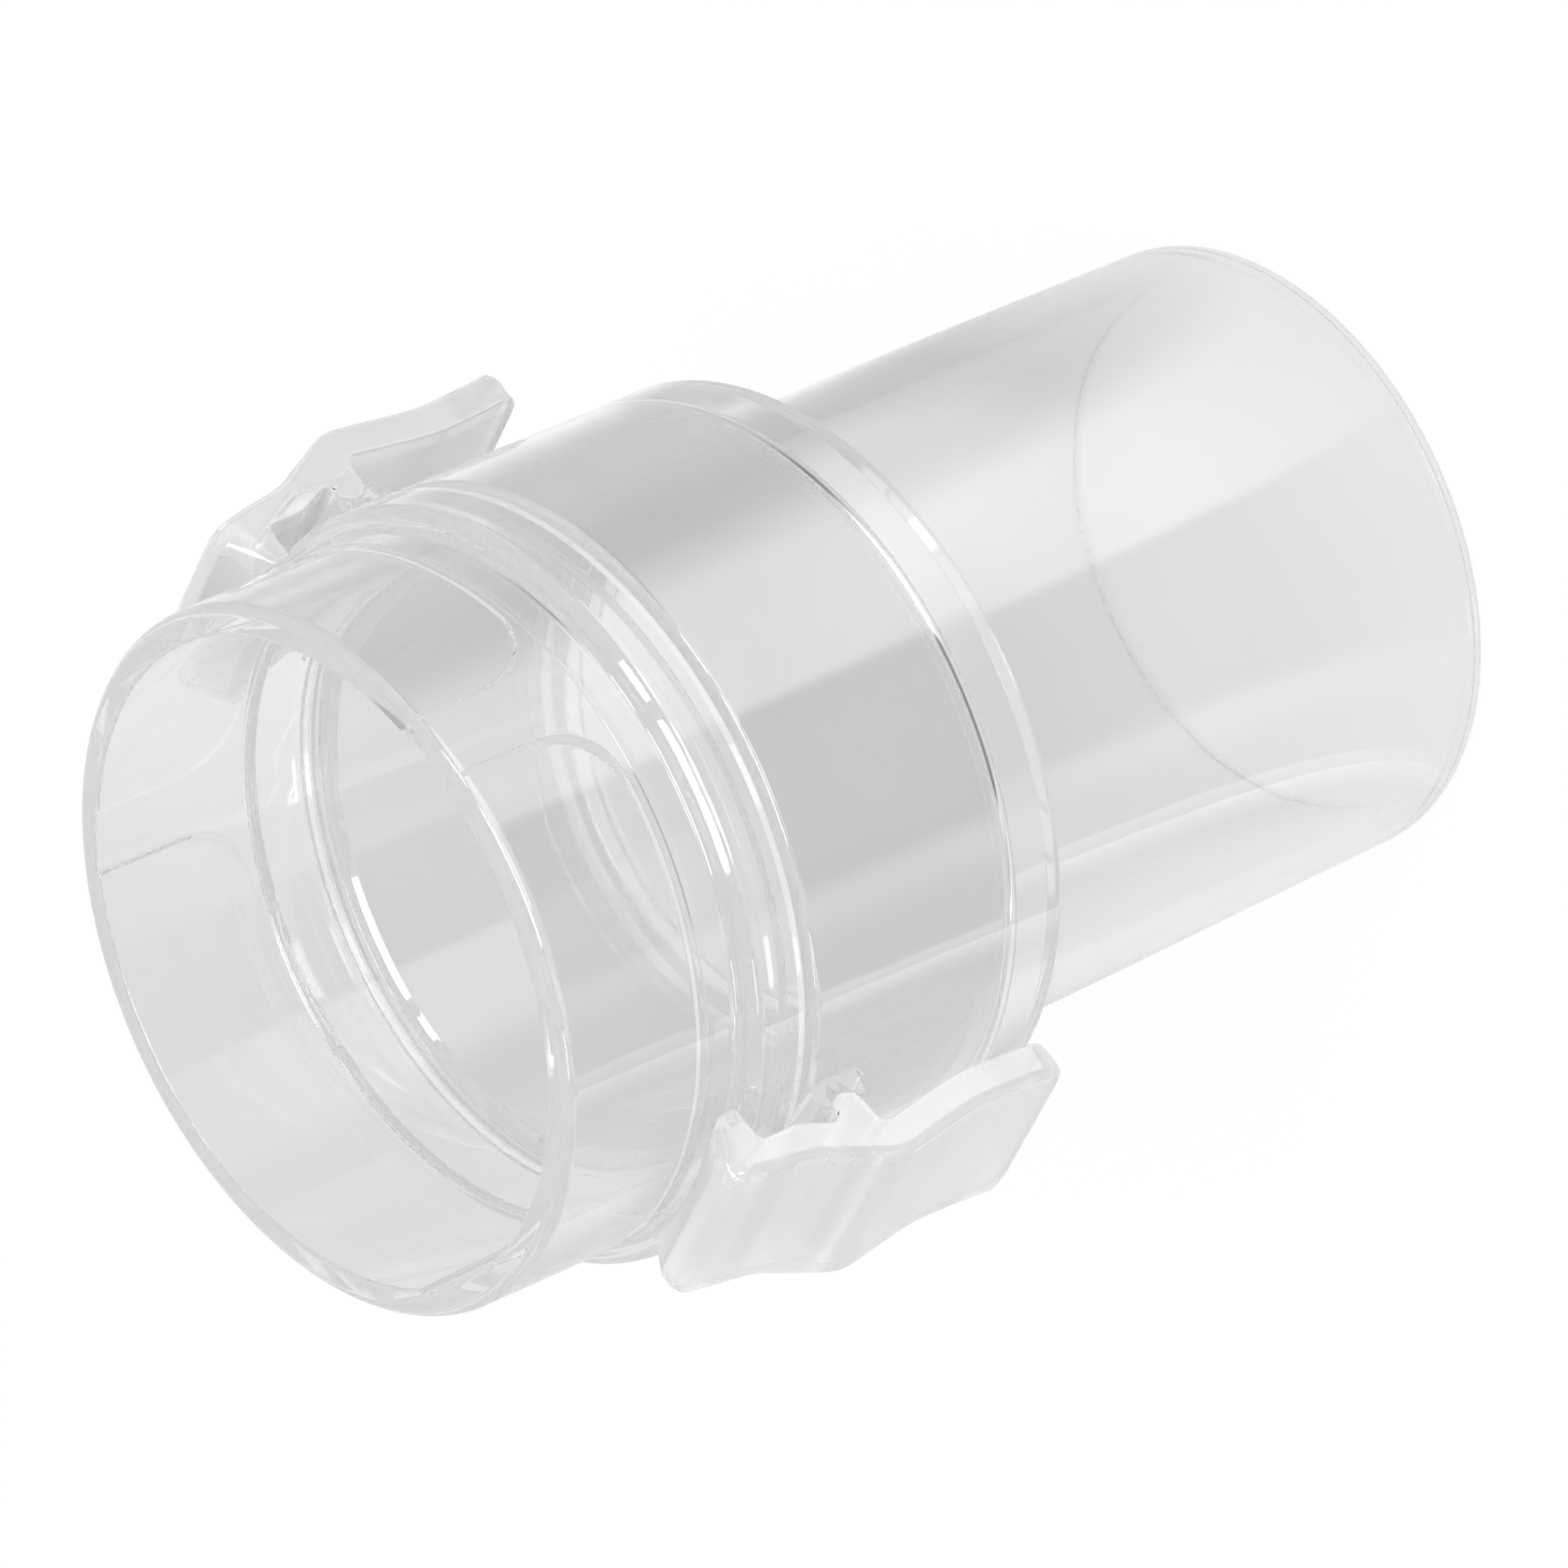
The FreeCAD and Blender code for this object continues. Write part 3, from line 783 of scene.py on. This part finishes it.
def clear_plastic(
    finish, name, tints, gloss, haze, trapped_glow_tone, polish=0.0, polished_edge=0.0
):
    """Clear polycarbonate: faintly smoky, glossy, lightly scuffed, with a moulded ripple.

    Light that has met the plastic five times is replaced by a painted glow at the trapped tone,
    standing in for light scattered in it.
    Polish lays a clear gloss over a rougher skin. With a polished edge, in metres from the XZ
    plane, the skin grows smooth towards that distance.
    """
    existing = bpy.data.materials.get(name)
    if existing is not None:
        return existing
    material = new_material(name)
    tree = material.node_tree
    place = named(add(tree, "ShaderNodeTexCoord"), "Object")

    smoke = noise(tree, place, 110.0).between(0.35, 0.70)
    tint = mix_colours(tree, smoke, (*tints[0], 1), (*tints[1], 1))
    patches = noise(tree, place, 260.0, 1.0).between(0.52, 0.74)
    scuffs = patches * noise(tree, place, 2600.0, 1.0).between(0.40, 0.70)
    moulded = gloss
    if polished_edge:
        across = add(tree, "ShaderNodeSeparateXYZ", {}, {0: place})[1].magnitude()
        inner = 1 - across.between(polished_edge - ROUGH_WITHIN, polished_edge - SMOOTH_WITHIN)
        moulded = finish.gloss + (gloss - finish.gloss) * inner
    roughness = finish.scuffing * scuffs + moulded
    ripple = noise(tree, place, 420.0)
    bump = {"Strength": finish.waviness, "Distance": finish.ripple_height, "Height": ripple}
    surface = add(
        tree,
        "ShaderNodeBsdfPrincipled",
        {},
        {
            "Base Color": tint,
            "Roughness": roughness,
            "IOR": 1.585,
            "Transmission Weight": 1.0 - haze,
            "Coat Weight": polish,
            "Coat Roughness": finish.gloss,
            "Normal": add(tree, "ShaderNodeBump", {}, bump)[0],
        },
    )[0]
    # Painted glow at the trapped tone, for rays that have met the plastic five times
    grey = (trapped_glow_tone, trapped_glow_tone, trapped_glow_tone, 1)
    trapped = add(tree, "ShaderNodeEmission", {}, {"Color": grey, "Strength": 1.0})[0]
    is_trapped = named(add(tree, "ShaderNodeLightPath"), "Ray Depth").between(4.4, 4.6)
    both = add(tree, "ShaderNodeMixShader", {}, {0: is_trapped, 1: surface, 2: trapped})[0]
    add(tree, "ShaderNodeOutputMaterial", {}, {"Surface": both})
    # The painted trapped glow isn't sampled as a lamp's, which shortens the render
    material.cycles.emission_sampling = "NONE"
    return material


def ray_shares(tree):
    """Whether a ray is the camera's own, was mirrored or let through, and has met four faces."""
    path = add(tree, "ShaderNodeLightPath")
    is_camera = named(path, "Is Camera Ray")
    is_glossy = named(path, "Is Glossy Ray")
    is_through = named(path, "Is Transmission Ray")
    is_deep = named(path, "Ray Depth").between(3.4, 3.6)
    return is_camera, is_glossy.greater(is_through), is_deep


def studio_tone(tree, place):
    """The tone of the studio by the direction round the object: bright screens with dark gaps, lit
    in the world and painted on the floor.
    """
    east, north, _ = add(tree, "ShaderNodeSeparateXYZ", {}, {0: place})
    turn = north.angle(east) / (2 * math.pi) + 0.5
    stops = [(azimuth / 360 + 0.5, tone / BRIGHTEST) for azimuth, tone in SCREENS]
    return BRIGHTEST * add(tree, "ShaderNodeValToRGB", {"stops": stops}, {0: turn})[0]


def floor_material(stage):
    """A plain pale floor that keeps a faint shadow, with painted screens and painted shade round
    its foot for rays in the plastic.
    """
    material = new_material("floor_paint")
    tree = material.node_tree
    place = named(add(tree, "ShaderNodeTexCoord"), "Object")
    is_camera, is_second, is_deep = ray_shares(tree)
    distance = add(tree, "ShaderNodeVectorMath", {"operation": "LENGTH"}, {0: place})[1]
    # Painted shade round the connector's foot fades out into painted reflections of screens; deep
    # rays get less of the screens
    beside = distance.between(stage.foot_radius, stage.screens_radius)
    beside = beside * (1 - stage.screens_loss * is_deep)
    around = mix_colours(tree, beside, (*stage.painted_foot_shade, 1), studio_tone(tree, place))
    tone = mix_colours(tree, is_camera, around, (1, 1, 1, 1))
    diffuse = add(tree, "ShaderNodeBsdfDiffuse", {}, {"Color": (*stage.floor_colour, 1)})[0]
    plain = add(tree, "ShaderNodeEmission", {}, {"Color": tone, "Strength": 1.0})[0]
    is_plain = is_camera.greater(is_second) * stage.plain_share
    both = add(tree, "ShaderNodeMixShader", {}, {0: is_plain, 1: diffuse, 2: plain})[0]
    add(tree, "ShaderNodeOutputMaterial", {}, {"Surface": both})
    material.cycles.emission_sampling = "NONE"
    return material


# Pieces


def place_piece(piece, body, material):
    """Give a piece its finish and its body, and hide the CAD node that it stands for."""
    piece.data.materials.append(material)
    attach(piece, body)
    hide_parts(body)


def build_half(scene, body, work_out_points):
    """One turned half in polished plastic, from the function that works out its points."""
    grid = work_out_points(in_millimetres(scene.connector_sizes))
    points = grid.reshape(-1, 3)
    faces = grid_faces(*grid.shape[:2])
    if signed_volume(points, faces) < 0:
        faces = faces[:, ::-1]
    finish = scene.connector_finish
    tints = (finish.tint, finish.deep_tint)
    skin = clear_plastic(
        finish, "polished_plastic", tints, finish.gloss, finish.haze, finish.trapped_glow_tone
    )
    place_piece(make_piece(f"{body}_skin", points, faces), body, skin)


class CONNECTOR_OT_hose_half(bpy.types.Operator):
    """Build the collar with the hose tube and the levers' seats"""

    bl_idname = "connector.hose_half"
    bl_label = "Hose half"

    def execute(self, context):
        build_half(context.scene, "hose_half", hose_half_points)
        return {"FINISHED"}


class CONNECTOR_OT_socket_half(bpy.types.Operator):
    """Build the turning half with its flange, socket and grip pads"""

    bl_idname = "connector.socket_half"
    bl_label = "Socket half"

    def execute(self, context):
        build_half(context.scene, "socket_half", socket_half_points)
        return {"FINISHED"}


class CONNECTOR_OT_release_levers(bpy.types.Operator):
    """Build the two squeeze levers with their hooks and knuckles"""

    bl_idname = "connector.release_levers"
    bl_label = "Release levers"

    def execute(self, context):
        sizes = in_millimetres(context.scene.connector_sizes)
        grid = lever_points(sizes)
        faces, first_cap, last_cap = closed_tube(grid)
        points = grid.reshape(-1, 3)
        if signed_volume(points, faces) < 0:
            faces = faces[:, ::-1]
            caps = (first_cap[::-1], last_cap)
        else:
            caps = (first_cap, last_cap[::-1])
        finish = context.scene.connector_finish
        tints = (finish.lever_tint, finish.lever_deep_tint)
        skin = clear_plastic(
            finish, "lever_plastic", tints, finish.lever_gloss, finish.lever_haze,
            finish.lever_trapped_glow_tone, finish.lever_polish, sizes.lever_half_width * MM,
        )
        for body, turn in (("release_lever_right", 1.0), ("release_lever_left", -1.0)):
            turned = points * np.array([turn, turn, 1.0])
            place_piece(make_piece(f"{body}_skin", turned, faces, caps), body, skin)
        return {"FINISHED"}


# Studio


class CONNECTOR_OT_studio(bpy.types.Operator):
    """Make the plain floor, the soft lamps, the world and the camera"""

    bl_idname = "connector.studio"
    bl_label = "Studio"

    def execute(self, context):
        scene = context.scene
        stage = scene.connector_stage
        scene.view_settings.view_transform = "Standard"
        make_floor(stage)
        make_world(scene, stage)
        make_lamps()
        make_camera(scene, stage)
        return {"FINISHED"}


def make_floor(stage):
    """A wide square floor at the level on which the connector stands."""
    mesh = bpy.data.meshes.new("floor")
    reach = 3.0
    corners = [(-reach, -reach, 0), (reach, -reach, 0), (reach, reach, 0), (-reach, reach, 0)]
    mesh.from_pydata(corners, [], [(0, 1, 2, 3)])
    mesh.materials.append(floor_material(stage))
    floor = bpy.data.objects.new("floor", mesh)
    bpy.context.scene.collection.objects.link(floor)


def make_world(scene, stage):
    """A studio that is brighter overhead, and white where the camera looks past the floor."""
    world = bpy.data.worlds.new("studio")
    world.use_nodes = True
    tree = world.node_tree
    tree.nodes.clear()
    outward = named(add(tree, "ShaderNodeTexCoord"), "Generated")
    height = add(tree, "ShaderNodeSeparateXYZ", {}, {0: outward})[2]
    is_camera, _, is_deep = ray_shares(tree)
    high = (*stage.sky_colour, 1)
    screens = studio_tone(tree, outward).lesser(1.0)
    around = mix_colours(tree, (stage.sky_share + is_deep).lesser(1.0), screens, high)
    sky = mix_colours(tree, height.between(SCREENS_TOP, OPEN_SKY), around, high)
    tone = mix_colours(tree, is_camera, sky, (1, 1, 1, 1))
    background = add(tree, "ShaderNodeBackground", {}, {"Color": tone, "Strength": 1.0})[0]
    add(tree, "ShaderNodeOutputWorld", {}, {"Surface": background})
    world.cycles.sampling_method = "NONE"
    scene.world = world


def direction(azimuth, elevation):
    """The unit vector from the object towards this azimuth and elevation, in radians."""
    level = math.cos(elevation)
    return Vector((math.sin(azimuth) * level, -math.cos(azimuth) * level, math.sin(elevation)))


def make_lamps():
    """Soft round lamps round the object, each aimed at its middle.

    A lamp is its name, azimuth, elevation, distance, size and strength. The azimuth is counted
    as for the camera.
    """
    lamps = (
        ("front_left_lamp", -38.0, 56.0, 0.60, 0.19, 0.80),
        ("front_right_lamp", -11.0, 56.0, 0.60, 0.19, 0.80),
        ("side_lamp", 18.0, 50.0, 0.70, 0.12, 0.62),
        ("low_lamp", -84.0, 38.0, 0.60, 0.14, 0.26),
        ("face_lamp", -25.0, 28.0, 0.70, 0.25, 0.60),
    )
    middle = Vector((0.0, 0.0, 0.022))
    for name, azimuth, elevation, distance, size, power in lamps:
        data = bpy.data.lights.new(name, "AREA")
        data.shape = "DISK"
        data.size = size
        data.energy = power
        lamp = bpy.data.objects.new(name, data)
        back = direction(math.radians(azimuth), math.radians(elevation))
        lamp.location = middle + back * distance
        lamp.rotation_euler = (-back).to_track_quat("-Z", "Y").to_euler()
        bpy.context.scene.collection.objects.link(lamp)


def make_camera(scene, stage):
    """The photograph's view: an azimuth and elevation round the object and a roll of the camera."""
    back = direction(stage.azimuth, stage.elevation)
    level_right = Vector((math.cos(stage.azimuth), math.sin(stage.azimuth), 0.0))
    level_up = back.cross(level_right)
    right = level_right * math.cos(stage.roll) + level_up * math.sin(stage.roll)
    up = back.cross(right)
    data = bpy.data.cameras.new("camera")
    data.lens = stage.lens
    data.sensor_width = 36.0
    data.clip_start = 0.01
    data.clip_end = 20.0
    camera = bpy.data.objects.new("camera", data)
    facing = Matrix((right, up, back)).transposed().to_4x4()
    camera.matrix_world = Matrix.Translation(stage.aim + back * stage.distance) @ facing
    scene.collection.objects.link(camera)
    scene.camera = camera


# Add-on


class CONNECTOR_PT_panel(bpy.types.Panel):
    """Lists the connector's pieces, finish and studio"""

    bl_idname = "CONNECTOR_PT_panel"
    bl_label = "Connector"
    bl_space_type = "VIEW_3D"
    bl_region_type = "UI"
    bl_category = "Connector"

    def draw(self, context):
        layout = self.layout
        for operator in OPERATORS:
            layout.operator(operator.bl_idname)
        for group in ("connector_sizes", "connector_finish", "connector_stage"):
            settings = getattr(context.scene, group)
            box = layout.box()
            for name in settings.__annotations__:
                box.prop(settings, name)


OPERATORS = (
    CONNECTOR_OT_hose_half,
    CONNECTOR_OT_socket_half,
    CONNECTOR_OT_release_levers,
    CONNECTOR_OT_studio,
)
CLASSES = (ConnectorSizes, ConnectorFinish, ConnectorStage, *OPERATORS, CONNECTOR_PT_panel)


def register():
    """Make the properties, operators and panel known."""
    for item in CLASSES:
        bpy.utils.register_class(item)
    bpy.types.Scene.connector_sizes = bpy.props.PointerProperty(type=ConnectorSizes)
    bpy.types.Scene.connector_finish = bpy.props.PointerProperty(type=ConnectorFinish)
    bpy.types.Scene.connector_stage = bpy.props.PointerProperty(type=ConnectorStage)


def unregister():
    """Take the properties, operators and panel away again."""
    del bpy.types.Scene.connector_stage
    del bpy.types.Scene.connector_finish
    del bpy.types.Scene.connector_sizes
    for item in reversed(CLASSES):
        bpy.utils.unregister_class(item)


def main():
    """Build the connector and its studio."""
    register()
    bpy.ops.connector.hose_half()
    bpy.ops.connector.socket_half()
    bpy.ops.connector.release_levers()
    bpy.ops.connector.studio()


if __name__ == "__main__":
    main()
